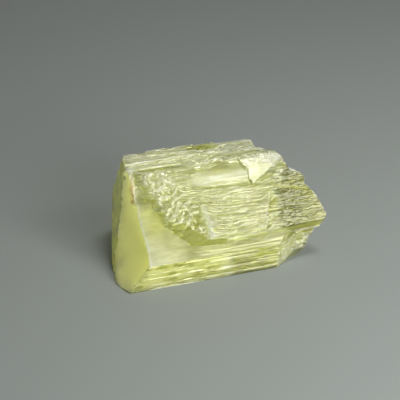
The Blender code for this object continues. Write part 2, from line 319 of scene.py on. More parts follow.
@dataclass(frozen=True)
class Weave(Texture):
    """Fibres of several widths laid over one another, each with its own strength."""

    fibres: tuple[Fibres, ...]
    strengths: tuple[float, ...]
    shift: float = 0.0

    def surface(self, x: Array, s: Array) -> tuple[Array, Array]:
        """The fibres' heights and shades, each times its strength, added up."""
        pairs = zip(self.strengths, self.fibres)
        return tuple(sum(np.multiply(part, one.surface(x + self.shift, s)) for part, one in pairs))


@dataclass(frozen=True)
class Facets(Texture):
    """An unbroken surface of small flat triangles, as a splintery break has."""

    width: float
    depth: float
    seed: int

    def surface(self, x: Array, s: Array) -> tuple[Array, Array]:
        """The facets' height and shade.

        A square grid, bent by a slow swell, has one random height at each of its points. Each cell
        is cut into two triangles from corner to corner, and the height runs straight between the
        three points of a triangle. Each triangle has one random shade.

        Args:
            x, s: Places along the crystal and up the face.

        Returns:
            Height between minus and plus half the depth, and shade from -0.5 to 0.5.
        """
        a = x / self.width + 0.8 * swell(x / self.width / 1.7, s / self.width / 1.7, self.seed + 7)
        b = s / self.width + 0.8 * swell(x / self.width / 1.9, s / self.width / 1.9, self.seed + 8)
        ia, ib = np.floor(a), np.floor(b)
        ta, tb = a - ia, b - ib
        near, far = hashed(ia, ib, self.seed), hashed(ia + 1, ib + 1, self.seed)
        right, top = hashed(ia + 1, ib, self.seed), hashed(ia, ib + 1, self.seed)
        lower = near + (right - near) * ta + (far - right) * tb
        upper = near + (far - top) * ta + (top - near) * tb
        shade = hashed(2 * ia + (ta > tb), ib, self.seed + 5)
        return self.depth * (np.where(ta > tb, lower, upper) - 0.5), shade - 0.5


@dataclass(frozen=True)
class Shards(Facets):
    """Small flat break surfaces that lean every way, as where clear stone crumbles."""

    lean: float = 1.6

    def surface(self, x: Array, s: Array) -> tuple[Array, Array]:
        """The shards' height and shade.

        Each cell of a square grid has one random centre. A place belongs to the nearest centre of
        the nine cells round it, and lies on that shard's own plane, which has a random level and
        two random slopes. Each shard also has one random shade.

        Args:
            x, s: Places along the crystal and up the face.

        Returns:
            Height between about minus and plus the depth, and shade from -0.5 to 0.5.
        """
        a, b = x / self.width, s / self.width
        ia, ib = np.floor(a), np.floor(b)
        nearest = np.full(np.broadcast(a, b).shape, np.inf)
        height, shade = np.zeros((2, *nearest.shape))
        for ca, cb in [(ia + p, ib + q) for p in (-1, 0, 1) for q in (-1, 0, 1)]:
            ra = a - ca - hashed(ca, cb, self.seed)
            rb = b - cb - hashed(ca, cb, self.seed + 1)
            level, rise, climb = [hashed(ca, cb, self.seed + k) - 0.5 for k in (2, 3, 4)]
            mine = ra * ra + rb * rb < nearest
            nearest = np.where(mine, ra * ra + rb * rb, nearest)
            height = np.where(mine, level + self.lean * (rise * ra + climb * rb), height)
            shade = np.where(mine, hashed(ca, cb, self.seed + 5) - 0.5, shade)
        return self.depth * height, shade


@dataclass(frozen=True)
class Seam:
    """A crevice that follows a straight line on a face."""

    start: Pair
    end: Pair
    half_width: float
    floor: float

    def ceiling(self, x: Array, s: Array) -> Array:
        """The highest that the face may stand: the seam's floor, rising steeply away from its line."""
        return self.floor + 1.6 * (from_line(x, s, self.start, self.end) / self.half_width) ** 1.5


@dataclass(frozen=True)
class Wedge:
    """A lump on a face that is bounded by planes, each a level with its rise along x and s."""

    planes: tuple[Triple, ...]

    def height(self, x: Array, s: Array) -> Array:
        """Height of the lump: the lowest of its planes."""
        return np.min([level + along * x + up * s for level, along, up in self.planes], axis=0)


@dataclass(frozen=True)
class EndPlane:
    """A flat end of the crystal: the plane x = a + b * y + c * z."""

    a: float
    b: float
    c: float

    def x(self, y: Array, z: Array) -> Array:
        """Where the plane lies along the crystal."""
        return self.a + self.b * y + self.c * z


COARSE = Fibres(0.95, 5.0, 0.22, 11)
MIDDLE = Fibres(0.42, 2.6, 0.15, 23)
FINE = Fibres(0.20, 1.3, 0.08, 37)
STRIAE = Fibres(0.34, 26.0, 0.16, 51)
FINE_STRIAE = Fibres(0.17, 9.0, 0.05, 67)
SHARDS = Facets(0.95, 0.42, 211)
FINE_SHARDS = Shards(0.45, 0.13, 223)
MAIN_FOOT = (0.6, 3.7)
MAIN_TOP = (9.5, 15.0)


# ---- The long faces ----


class Face(Enum):
    """The long faces of the prism, in their order round its section."""

    FOOT = 0
    MAIN = 1
    CREST = 2
    REAR_UPPER = 3
    REAR_LOWER = 4
    UNDERSIDE = 5


@dataclass(frozen=True)
class LongFace:
    """A long face of the prism. On its own it is the smooth, golden underside."""

    gold: float = 0.8

    def relief(self, x: Array, s: Array) -> Array:
        """Height above the face's plane: none."""
        return 0.0 * x

    def tones(self, x: Array, s: Array) -> Tones:
        """Share of each tone, by name: golden all over."""
        return {"gold": self.gold + 0.0 * x}


@dataclass(frozen=True)
class RearFace(LongFace):
    """A rear face: striae and middling fibres, with growth layers where it has any."""

    rough: Weave = Weave((STRIAE, MIDDLE), (1.0, 0.8), 140.0)
    shades: Weave = Weave((STRIAE, MIDDLE, FINE), (0.3, 0.7, 0.9), 50.0)
    wander: Wander = Wander(Rubble(1.8, 3.0, 0.9, 113), Rubble(0.5, 2.5, 1.2, 127))
    layers: tuple[GrowthLayer, ...] = ()
    layer_share: float = 1.0
    rest: float = -0.10

    def relief(self, x: Array, s: Array) -> Array:
        """Relief of the face: the highest of its layers, which wander, under its fibres."""
        level = np.max([0.0 * x, *(layer.height(*self.wander.moved(x, s)) for layer in self.layers)], axis=0)
        return self.layer_share * level + self.rough.height(x, s) + self.rest

    def tones(self, x: Array, s: Array) -> Tones:
        """Share of each tone, by name: the light fibres are frosted and the dark ones deep."""
        lines = self.shades.shade(x, s)
        return {"frost_and_highlight": 0.30 + 0.4 * lines, "deep_and_shade": 0.25 + 0.3 * held(-lines)}


@dataclass(frozen=True)
class Crest(RearFace):
    """The crest: two long layers under strong fibres, frosted and milky, with one clear patch."""

    rough: Weave = Weave((STRIAE, MIDDLE, FINE), (1.1, 0.5, 1.2), 50.0)
    wander: Wander = Wander(Rubble(1.6, 3.0, 0.8, 107), Rubble(0.35, 2.5, 1.2, 109))
    layers: tuple[GrowthLayer, ...] = (
        GrowthLayer(((-4.0, 1.3), (16.5, 1.6), (18.0, 4.5), (-4.0, 4.5)), 0.45, 0.10),
        GrowthLayer(((5.5, 2.6), (14.0, 2.4), (14.6, 4.4), (6.2, 4.4)), 0.75, 0.15),
    )
    layer_share: float = 0.6
    rest: float = 0.10
    clear_patch: Spot = Spot(1.0, (14.5, 0.0), (2.6, math.inf))
    patch_foot: Pair = (2.2, 2.8667)
    edge: Spot = Spot(0.25, (0.0, 0.0), (math.inf, 0.5))

    def tones(self, x: Array, s: Array) -> Tones:
        """Tones of the crest: its fibres are milky and frosted, but for the clear patch.

        Args:
            x, s: Places along the crystal and up the face.

        Returns:
            The share of each tone, by name.
        """
        lines = self.shades.shade(x, s)
        patch = self.clear_patch.at(x, s) * ramp(s, *self.patch_foot)
        return {
            "milk_and_highlight": 0.28 + 0.7 * held(lines) - 0.3 * patch,
            "frost_and_highlight": 0.65 + 0.5 * lines + self.edge.at(x, s) - 0.4 * patch,
            "deep_and_shade": 0.5 * patch + 0.5 * held(-lines),
        }


@dataclass(frozen=True)
class Recess:
    """The crumbled hollow under the ledge near the right end."""

    x: tuple[float, ...] = (22.6, 26.6, 38.0)
    y: tuple[float, ...] = (-0.4, 2.3, 2.6)
    lean: float = 0.105
    ceiling: float = 4.95
    reach: float = 4.0
    crumbly: Pair = (22.6, 23.8)

    def wall(self, x: Array, z: Array) -> Array:
        """Where the recess's leaning wall lies across the crystal, crumbled more to the right."""
        crumbled = 0.9 * SHARDS.height(x, 1.2 * z) + FINE_SHARDS.height(x, z)
        return np.interp(x, self.x, self.y) + self.lean * z + crumbled * ramp(x, *self.crumbly)


@dataclass(frozen=True)
class Foot(LongFace):
    """The striated band along the front foot, which is golden and turns into the recess's wall."""

    rough: Weave = Weave((STRIAE, FINE_STRIAE), (1.0, 1.0))
    shades: Weave = Weave((STRIAE, FINE_STRIAE), (0.5, 0.8))
    smooth: Patch = Patch(0.65, ((5.0, 12.0),))
    rest: float = -0.08
    # Blotches: the bright ones stand in for light reflected inside the stone and the dark ones for its shade;
    # the glints are painted highlights.
    blotches: tuple[Rubble, ...] = (Rubble(0.9, 1.3, 0.8, 301), Rubble(0.5, 0.8, 0.30, 307, 2))
    glints: tuple[Spot, ...] = (Spot(1.0, (15.3, 0.0), (0.9, math.inf)), Spot(0.5, (11.5, 0.4), (2.6, 0.7)))
    left: Patch = Patch(1.0, ((7.0, 3.0),))
    smoky: Patch = Patch(0.50, ((14.0, 17.0),))
    recess: Patch = Patch(1.0, ((Recess.x[0], 23.4),))
    crumbs: Rubble = Rubble(1.0, 0.6, 0.5, 331)

    def relief(self, x: Array, s: Array) -> Array:
        """Relief of the band: its striae, which are lower towards the left."""
        return (0.35 + self.smooth.at(x, s)) * self.rough.height(x, s) + self.rest

    def tones(self, x: Array, s: Array) -> Tones:
        """Tones of the band: golden, with painted glints, bright blotches of painted reflection and dark
        blotches of painted shade between its striae.

        Args:
            x, s: Places along the crystal and up the face.

        Returns:
            The share of each tone, by name.
        """
        patch = sum(blotch.at(x, s) for blotch in self.blotches) + 0.6 * self.shades.shade(x, s)
        glint = sum(spot.at(x, s) for spot in self.glints)
        left, recess = self.left.at(x, s), self.recess.at(x, s)
        crumbled = recess * held(0.5 + SHARDS.shade(x, 1.2 * s) + self.crumbs.at(x, s))
        # Painted shade in the dark blotches, less where a glint lies.
        shadow = 1.2 * held(-patch - 0.1) * (1.0 - 0.7 * glint)
        return {
            "gold": 0.9 - 0.5 * recess,
            # Painted glints and painted reflections in the bright blotches; the crumbled recess is the stone's
            # own milkiness.
            "milk_and_highlight": (0.4 * glint + 0.5 * held(patch)) * (1.0 - 0.7 * left) + 0.35 * crumbled,
            "smoke": self.smoky.at(x, s) * (0.6 + np.clip(patch, -0.5, 0.5)) * (1.0 - 0.6 * recess),
            "frost_and_highlight": 0.06 + 0.45 * crumbled,
            "deep_and_shade": (0.26 - 0.2 * left + shadow) * (1.0 - 0.7 * recess),
        }


@dataclass(frozen=True)
class MainFace(LongFace):
    """The sloping main face: a smooth bare triangle below, and a raised, broken layer above it."""

    rough: Weave = Weave((COARSE, MIDDLE, FINE), (1.0, 1.0, 1.0))
    shades: Weave = Weave((COARSE, MIDDLE, FINE), (0.4, 0.7, 0.9))
    wander: Wander = Wander(Rubble(0.30, 1.3, 0.9, 91), Rubble(0.12, 2.5, 0.7, 95))
    rim_chips: Shards = Shards(0.75, 0.60, 241)

    upper_layer: GrowthLayer = GrowthLayer(
        ((10.0, 1.8), (15.2, 1.5), (21.5, 1.7), (25.6, 1.9), (36.0, 1.9), (36.0, 14.3),
         (3.1, 14.3), (3.3, 13.2), (3.9, 11.2), (4.7, 9.9), (5.5, 8.1), (6.2, 6.3), (7.2, 5.0)),
        0.90, 0.70,
    )
    top_of_rim: Pair = (0.55, 0.90)
    lower_block: Wedge = Wedge(
        ((-25.2, 2.0, 0.257), (1.30, 0.0, 0.0), (1.97, 0.0, -0.133), (1.95, -0.035, 0.0), (-3.0, 0.0, 1.5),
         (43.0, -2.0, 0.54)),
    )
    upper_band: Wedge = Wedge(
        ((-4.2, 0.0, 0.5), (1.30, 0.0, 0.0), (3.03, 0.0, -0.15), (-0.9, 0.16, 0.0), (83.3, -4.0, 0.0)),
    )
    white_lump: Wedge = Wedge(
        ((-1.60, 0.0, 0.272), (6.65, 0.0, -0.40), (-94.4, 4.0, 1.33), (1.395, -0.50, 1.037),
         (8.95, -0.50, 0.40), (26.4, 0.0, -1.7)),
    )
    corner_facet: Wedge = Wedge(((-3.19, 0.270, 0.260), (-2.68, 0.081, 1.0)))
    corner_top: float = 5.2
    corner_end: float = 15.0
    seams: tuple[Seam, ...] = (
        Seam((11.9, 10.4), (15.5, 9.9), 0.34, 0.62),
        Seam((15.5, 9.9), (22.0, 9.6), 0.28, 0.70),
        Seam((10.9, 8.3), (14.0, 7.8), 0.34, 0.60),
        Seam((14.0, 7.8), (17.9, 8.3), 0.30, 0.85),
        Seam((19.4, 13.1), (20.2, 11.3), 0.18, 0.75),
        Seam((20.2, 11.3), (20.7, 9.7), 0.18, 0.75),
        Seam((24.4, 8.6), (29.6, 7.5), 0.26, 0.75),
    )
    hollow: GrowthLayer = GrowthLayer(((10.3, 6.5), (11.8, 6.9), (12.0, 4.7), (10.8, 4.2)), -0.28, 0.60)
    hollow_rim: Pair = (-0.1667, 0.1667)

    crumbly_edge: Pair = (14.0, 12.0)
    crumbly_lean: float = 0.35
    calm_centre: Pair = (16.2, 11.5)
    calm_radii: Pair = (5.2, 1.7)
    calm_edge: Pair = (1.25, 0.75)
    block: Patch = Patch(1.0, ((12.2, 12.7),), ((9.2, 8.3667),))
    hackle_reach: float = 1.5
    hackle_start: float = 12.2
    hackle_fade: float = 1.3
    finer_right: Patch = Patch(0.35, ((15.0, 19.0),))
    bare_striae: Patch = Patch(0.5, ((8.0, 16.0),))
    bare_crumbs: Patch = Patch(0.4, (), ((9.3, 11.8),))
    right_wander: Rubble = Rubble(1.1, 4.0, 0.5, 311)
    right_edge: Pair = (23.6, 25.0)

    # A whiter band along the white lump's top: its own white, with a painted highlight from the light above.
    top_white_and_sheen: Spot = Spot(0.9, (23.2, 13.4), (2.8, 0.8))
    # A milky band along the middle of the rounded upper band, partly painted highlight.
    band_milk_and_highlight: Spot = Spot(0.60, (0.0, 11.4), (math.inf, 1.0))
    rust: Spot = Spot(1.0, (2.6, 12.3), (0.55, 1.3))
    bright_chips: tuple[Pair, ...] = ((25.5, 11.1), (25.3, 9.9), (30.0, 7.2), (24.9, 10.5))
    chip_radii: Pair = (0.45, 0.3674)
    splinter_foot: float = 13.45
    splinter_lean: float = -0.128
    splinter_width: float = 0.45
    splinter: Patch = Patch(0.7, (), ((2.0, 2.6667), (8.0, 7.3333)))
    # A line of painted shade along the crease of the seam beside the right part.
    crease_shade: Seam = Seam((24.2, 9.0), (28.9, 7.8), 0.55, 0.0)
    # A darker olive pane of painted shade over the groove between the hackled block and the right part.
    groove_shade: GrowthLayer = GrowthLayer(((22.9, 7.6), (24.2, 7.2), (24.1, 4.8), (22.3, 5.0)), 1.0, 0.25)
    bare_frost: Patch = Patch(0.22, ((9.0, 12.0),), ((0.1, 0.6),))
    bare_milk: Patch = Patch(0.35, ((11.0, 8.0),), ((5.5, 2.5),))
    bare_smoke: Patch = Patch(0.35, ((13.5, 17.5),))
    smoke_grain: Rubble = Rubble(0.6, 1.6, 0.5, 337)
    edge_frost: tuple[Pair, ...] = ((0.25, 1.2), (0.60, 0.15))
    corner_gold: Patch = Patch(0.6, ((9.0, 7.0),), ((10.0, 8.0), (3.0, 6.0)))
    foot_gold: Patch = Patch(0.5, ((9.0, 12.0),), ((1.8, 1.3),))
    # The next four patches place painted shade: in the corner's sloping facets, on the layer's rim and under
    # the ledge.
    facet_depth: Patch = Patch(1.0, ((0.0, 0.125), (0.86, 0.735)))
    facet_reach: Patch = Patch(1.0, ((15.5, 15.0),), ((5.6, 5.2667),))
    rim_shade: Patch = Patch(0.7, ((12.0, 10.0),), ((9.5, 7.5),))
    ledge_shade: Patch = Patch(0.5, ((24.5, 26.5),), ((2.6, 2.2667),))
    tip_deep: Patch = Patch(0.20, ((27.5, 29.5),))
    right_deep: Patch = Patch(0.25, (), ((11.5, 10.0),))
    right_smoke: Patch = Patch(1.0, (), ((12.0, 10.5),))
    pale_crumbs: Patch = Patch(1.0, (), ((10.0, 11.5),))
    block_lines: Patch = Patch(0.2, ((15.0, 18.0),))

    def zones(self, x: Array, s: Array) -> tuple[Array, Array, Array]:
        """Share of three zones of the upper layer: crumbly, calm and the hackled block.

        The crumbly zone ends along a line that leans right as it goes down; the calm zone is a soft
        oval and the block a soft-edged rectangle.

        Args:
            x, s: Places along the crystal and up the face.

        Returns:
            The three shares, 0 to 1.
        """
        crumbly = ramp(x + self.crumbly_lean * s, *self.crumbly_edge)
        (cx, cs), (rx, rs) = self.calm_centre, self.calm_radii
        calm = ramp(np.hypot((x - cx) / rx, (s - cs) / rs), *self.calm_edge)
        return crumbly, calm, self.block.at(x, s)

    def bent(self, x: Array, s: Array, block: Array) -> Array:
        """Places up the face for the fibres, which splay down at the block's left edge."""
        past = np.clip(x - self.hackle_start, 0.0, None)
        return s - self.hackle_reach * block * np.exp(-past / self.hackle_fade)

    def corner(self, x: Array, s: Array) -> Array:
        """Height of the corner's smooth facets, at least 0 and rising past their top and right end."""
        past = np.maximum(2.0 * (s - self.corner_top), 1.5 * (x - self.corner_end))
        return np.maximum(self.corner_facet.height(x, s), np.clip(past, 0.0, None))

    def relief(self, x: Array, s: Array) -> Array:
        """Relief of the main face.

        The highest of the layer, the block, the band and the lump, whose borders wander a little,
        with fibres and shards on the layer, held under the corner's facets and the seams, less the
        hollow.

        Args:
            x, s: Places along the crystal and up the face.

        Returns:
            Height above the face.
        """
        wx, ws = self.wander.moved(x, s)
        chip = self.rim_chips.height(x, s)
        level = self.upper_layer.height(x + chip, ws)
        layer = ramp(level / self.upper_layer.level, *self.top_of_rim)
        bare = 1.0 - layer
        for lump in (self.lower_block, self.upper_band):
            level = np.maximum(level, lump.height(x + 0.4 * chip, ws))
        crumbly, calm, block = self.zones(wx, ws)
        grain = self.rough.height(x, self.bent(x, s, block)) * (1.0 - 0.75 * calm)
        grain = grain * (1.0 - 0.7 * crumbly) * (1.0 - self.finer_right.at(x, s))
        broken = SHARDS.height(x, s) + FINE_SHARDS.height(x, s)
        lump = self.white_lump.height(wx, ws) + 0.15 * FINE_SHARDS.height(1.3 * x, s)
        level = np.maximum(level + layer * (grain + broken * crumbly), lump)
        level = np.minimum(level, self.corner(x + 0.3 * chip, s))
        level = level + bare * self.bare_striae.at(x, s) * FINE_STRIAE.height(x, s)
        level = level + bare * self.bare_crumbs.at(x, s) * broken
        for seam in self.seams:
            level = np.minimum(level, seam.ceiling(wx, ws))
        return level + self.hollow.height(wx, ws)

    def deep_places(self, x: Array, s: Array, raised: Array, chip: Array) -> Array:
        """Share of the dark olive tone as painted shade: in the corner's sloping facets, on the layer's rim,
        which faces down, under the ledge, in the hollow and along the band's crease; also darker towards the
        right tip.

        Args:
            x, s: Places along the crystal and up the face.
            raised: Share of the upper layer's height.
            chip: How far the rim is chipped.

        Returns:
            The share, which may pass 1.
        """
        # Painted shade: darker olive in the corner's facets, on the rim, in the hollow, along the crease and
        # under the ledge.
        facet = self.corner_facet.height(x + 0.3 * chip, s)
        deep_and_shade = self.facet_depth.at(facet, s) * self.facet_reach.at(x, s)
        deep_and_shade = deep_and_shade + held(4.0 * raised * (1.0 - raised)) * self.rim_shade.at(x, s)
        deep_and_shade = deep_and_shade + 0.4 * ramp(self.hollow.inside(x + 0.5 * chip, s), *self.hollow_rim)
        deep_and_shade = deep_and_shade + 0.8 * held(1.0 - self.crease_shade.ceiling(x, s + 0.2 * chip))
        return deep_and_shade + self.ledge_shade.at(x, s) + self.tip_deep.at(x, s)

    def tones(self, x: Array, s: Array) -> Tones:
        """Tones of the main face.

        The bare triangle is golden in its corner and frosted along its edges; the upper band is milky,
        with a painted highlight along its rounded middle; the white lump's top is whiter, partly painted
        highlight; the right part is smoky and the rest of the layer frosted, fibre by fibre. Painted shade
        comes from deep_places and from the dark pane over the groove.

        Args:
            x: Places along the crystal, from the left end's edge in the first row of the array.
            s: Places up the face.

        Returns:
            The share of each tone, by name.
        """
        chip = self.rim_chips.height(x, s)
        raised = self.upper_layer.height(x + chip, s) / self.upper_layer.level
        layer = ramp(raised, *self.top_of_rim)
        bare = 1.0 - layer
        crumbly, calm, block = self.zones(x, s)
        right = ramp(x + self.right_wander.at(x, s), *self.right_edge)
        # Painted shade: a darker pane over the groove, where the frosted tone and the fibre lines are held
        # back.
        shaded_groove = self.groove_shade.height(x + 0.5 * chip, s)
        lines = self.shades.shade(x, self.bent(x, s, block)) * (1.0 - crumbly) * (1.0 - 0.7 * calm)
        lines = lines * (0.5 + 0.5 * right - block * self.block_lines.at(x, s))
        chips = 0.8 * crumbly * (SHARDS.shade(x, s) + FINE_SHARDS.shade(x, s))
        shade = layer * (lines + chips) * (1.0 - 0.7 * shaded_groove)
        pale = crumbly * self.pale_crumbs.at(x, s)
        marks = sum(Spot(1.0, place, self.chip_radii).at(x, s) for place in self.bright_chips)
        # Whiter top of the lump, partly painted highlight.
        top = self.top_white_and_sheen.at(x, s)
        edge = sum(part * np.exp(-(x - x[:1]) / reach) for part, reach in self.edge_frost)
        away = (x - self.splinter_foot - self.splinter_lean * s) / self.splinter_width
        frost_and_highlight = layer * (0.22 + 0.10 * block - 0.08 * calm) * (1.0 - 0.9 * right) + 0.8 * held(shade)
        frost_and_highlight = frost_and_highlight + bare * (0.05 + edge + self.bare_frost.at(x, s))
        # The lump's top takes its painted highlight in the frosted tone as well.
        frost_and_highlight = frost_and_highlight + top + np.exp(-(away**2)) * self.splinter.at(x, s)
        smoke = right * layer * self.right_smoke.at(x, s) * (1.25 - 0.8 * held(shade)) - marks
        deep_and_shade = self.deep_places(x, s, raised, chip) + right * self.right_deep.at(x, s)
        return {
            "gold": bare * (self.corner_gold.at(x, s) + self.foot_gold.at(x, s)),
            # Milky tone: painted highlight on the rounded band and the lump's top; elsewhere the stone's own
            # milkiness and bright chips.
            "milk_and_highlight": calm * self.band_milk_and_highlight.at(x, s) + bare * self.bare_milk.at(x, s) + top + marks,
            "frost_and_highlight": frost_and_highlight * (1.0 - 0.8 * shaded_groove) + 0.2 * pale + marks,
            "smoke": smoke + bare * self.bare_smoke.at(x, s) * (0.7 + self.smoke_grain.at(x, s)),
            "deep_and_shade": deep_and_shade + 0.6 * (1.0 - 0.6 * pale) * held(-shade) + 0.8 * shaded_groove,
            "stain": self.rust.at(x, s),
        }


# ---- The ends ----


def under_main(y: Array, z: Array) -> Array:
    """Depth below the main face: the distance to its plane, or 0 above it."""
    (y1, z1), (y2, z2) = MAIN_FOOT, MAIN_TOP
    return np.maximum((y - y1) * (z2 - z1) - (z - z1) * (y2 - y1), 0.0) / math.dist(MAIN_FOOT, MAIN_TOP)


@dataclass(frozen=True)
class LeftEnd:
    """The left end: a smooth satin facet, two ragged rear ones and two low ones that flare out."""

    smooth: EndPlane = EndPlane(2.40, -0.631, 0.400)
    rear: EndPlane = EndPlane(-1.755, 0.090, 0.200)
    rear_foot: EndPlane = EndPlane(-2.82, 0.226, 0.051)
    foot: EndPlane = EndPlane(0.0, -0.631, 1.04)
    toe: EndPlane = EndPlane(-4.56, 0.51, 1.04)
    fold: float = 0.9
    ragged: Rubble = Rubble(0.28, 2.2, 1.5, 131, 4)
    ragged_shift: float = 11.0
    chips: Rubble = Rubble(1.0, 0.9, 0.6, 137, 4)
    ground_chips: Rubble = Rubble(1.0, 0.9, 1.2, 139)
    chipped_top: Pair = (9.0, 11.0)
    streaks: Rubble = Rubble(1.0, 2.0, 5.0, 401, 4)
    rust: Spot = Spot(1.0, (12.3, 0.0), (1.1, 0.40))
    speck: Spot = Spot(1.0, (7.0, 11.2), (0.30, 0.30))
    # A painted shadow on the middle of the smooth facet.
    shadow: Spot = Spot(0.30, (1.5, 7.0), (2.4, 3.2))

    def x(self, y: Array, z: Array) -> Array:
        """Where the left end lies along the crystal.

        The rightmost of the smooth facet and two ragged rear ones, chipped where they meet. Near
        the front foot the smooth one folds softly into two flared ones: the lesser of the places,
        less a quarter of their square closeness.

        Args:
            y, z: Places across the crystal and heights.

        Returns:
            Place along the crystal.
        """
        upper, lower = self.smooth.x(y, z), np.maximum(self.foot.x(y, z), self.toe.x(y, z))
        close = held(1.0 - np.abs(upper - lower) / self.fold)
        smooth = np.minimum(upper, lower) - 0.25 * self.fold * close**2
        ragged = self.ragged.at(y + self.ragged_shift, z)
        rear = np.maximum(self.rear.x(y, z) + ragged, self.rear_foot.x(y, z) + 0.3 * ragged)
        top = (0.4 + 0.9 * ramp(z, *self.chipped_top)) * np.exp(-under_main(y, z) / 0.30)
        edge = np.exp(-np.abs(smooth - rear) / 0.35) + top
        ground = np.exp(-z / 0.55) * held(self.ground_chips.at(y, z) + 0.1)
        return np.maximum(smooth, rear) + 0.45 * edge * held(self.chips.at(y, z) + 0.15) + 0.7 * ground

    def tones(self, y: Array, z: Array) -> Tones:
        """Tones of the left end: satin, painted shade in the dark olive tone on its rear facets, which face
        away from the light, a painted shadow on the smooth facet, and rusty near the top edge.

        Args:
            y, z: Places across the crystal and heights.

        Returns:
            The share of each tone, by name.
        """
        rear = np.maximum(self.rear.x(y, z), self.rear_foot.x(y, z)) - self.smooth.x(y, z)
        # Painted shade: the rear facets, which face away from the light, take the dark olive tone.
        strip = ramp(rear, 0.0, 0.25)
        speck = self.speck.at(y, z)
        # The shadow spot is painted shade; the streaks are the stone's own.
        shade = self.shadow.at(y + 0.1 * z, z) + 0.25 * held(self.streaks.at(y + 0.6 * z, z))
        return {
            "satin": np.ones(y.shape),
            "frost_and_highlight": 0.55 * np.exp(-np.abs(rear) / 0.10),
            "deep_and_shade": 0.55 * strip + shade * (1.0 - strip) + 0.6 * speck,
            "stain": self.rust.at(z, under_main(y, z)) + speck,
        }


@dataclass(frozen=True)
class RightEnd:
    """The broken right end: shards on two slanting planes, with steps below the main face."""

    upper: EndPlane = EndPlane(42.9, -0.35, -1.0)
    lower: EndPlane = EndPlane(33.0, -0.35, -0.186)
    foot: EndPlane = EndPlane(28.1, -0.10, 0.50)
    undercut: EndPlane = EndPlane(24.0, 0.25, 3.0)
    coarse: Facets = Facets(2.3, 1.5, 151)
    fine: Facets = Facets(0.85, 0.60, 157)
    squash: float = 1.3
    rubble: Rubble = Rubble(0.10, 0.7, 0.7, 163)
    step_heights: tuple[float, ...] = (6.7, 9.7, 10.3, 10.9, 11.7, 12.4, 12.8, 13.7, 14.4, 15.1)
    step_reach: tuple[float, ...] = (0.45, 0.45, 0.20, -0.20, 0.25, 0.30, -0.60, 0.0, 0.6, 0.6)
    step_depth: float = 1.2
    crest_break: Triple = (23.7, 9.9, 13.2)
    crest_lean: float = 0.325
    gold: float = 0.5
    frost_and_highlight: float = 0.30
    smoky: Patch = Patch(0.30, (), ((12.5, 9.5),))
    milky: Patch = Patch(0.5, (), ((11.0, 13.0),))

    def x(self, y: Array, z: Array) -> Array:
        """Where the broken right end lies along the crystal.

        The leftmost of the planes and the crest's own break, with coarse and fine facets and a
        little rubble on them. Just below the main face the break is calmer and goes in steps.

        Args:
            y, z: Places across the crystal and heights.

        Returns:
            Place along the crystal.
        """
        ragged = self.coarse.height(y, self.squash * z) + self.fine.height(y, self.squash * z)
        ragged = ragged + self.rubble.at(y, z)
        rim = np.exp(-under_main(y, z) / self.step_depth)
        end = np.minimum(self.upper.x(y, z), self.lower.x(y, z)) + ragged * (1.0 - 0.7 * rim)
        end = end + rim * np.interp(z, self.step_heights, self.step_reach)
        end = np.min([end, self.foot.x(y, z) + 0.5 * ragged, self.undercut.x(y, z)], axis=0)
        x0, y0, z0 = self.crest_break
        broken = x0 - self.crest_lean * (z - z0) + 0.4 * ragged
        gone = (y > y0) & (z > z0 + self.crest_lean * (end - x0))
        return np.where(gone, np.minimum(end, broken), end)

    def tones(self, y: Array, z: Array) -> Tones:
        """Share of each tone, by name: golden and frosted, smoky below and milky at the top."""
        gold, frost_and_highlight = np.full(y.shape, self.gold), np.full(y.shape, self.frost_and_highlight)
        return {"gold": gold, "frost_and_highlight": frost_and_highlight, "smoke": self.smoky.at(y, z), "milk_and_highlight": self.milky.at(y, z)}


# ---- The crystal ----


@dataclass
class Section:
    """The prism's cross-section and how finely each face is divided."""

    corners: tuple[Pair, ...] = ((0.0, 0.0), MAIN_FOOT, MAIN_TOP, (13.8, 15.3), (16.0, 9.0), (13.0, 0.0))
    rows: tuple[int, ...] = (44, 190, 50, 30, 36, 12)
    middle: Pair = (7.9, 7.6)

    def __post_init__(self) -> None:
        """Lay out the rows of points round the section, as whole arrays.

        A point's outward direction is square to its face; at a corner it is the sum of the two
        faces' ones divided by one plus their cosine, which moves both faces out alike.
        """
        start = np.array(self.corners)
        run = np.roll(start, -1, axis=0) - start
        lengths = np.hypot(run[:, 0], run[:, 1])
        up_face = run / lengths[:, None]
        outward = np.stack([-up_face[:, 1], up_face[:, 0]], axis=1)
        self.face = face = np.repeat(np.arange(len(self.rows)), self.rows)
        first = np.concatenate([[0], np.cumsum(self.rows)[:-1]])
        share = (np.arange(len(face)) - first[face]) / np.array(self.rows)[face]
        self.s = share * lengths[face]
        self.edge = np.minimum(self.s, lengths[face] - self.s)
        self.points = start[face] + run[face] * share[:, None]
        bisector = outward[face] + outward[face - 1]
        bisector /= (1.0 + np.sum(outward[face] * outward[face - 1], axis=1))[:, None]
        self.outward = np.where((share == 0.0)[:, None], bisector, outward[face])


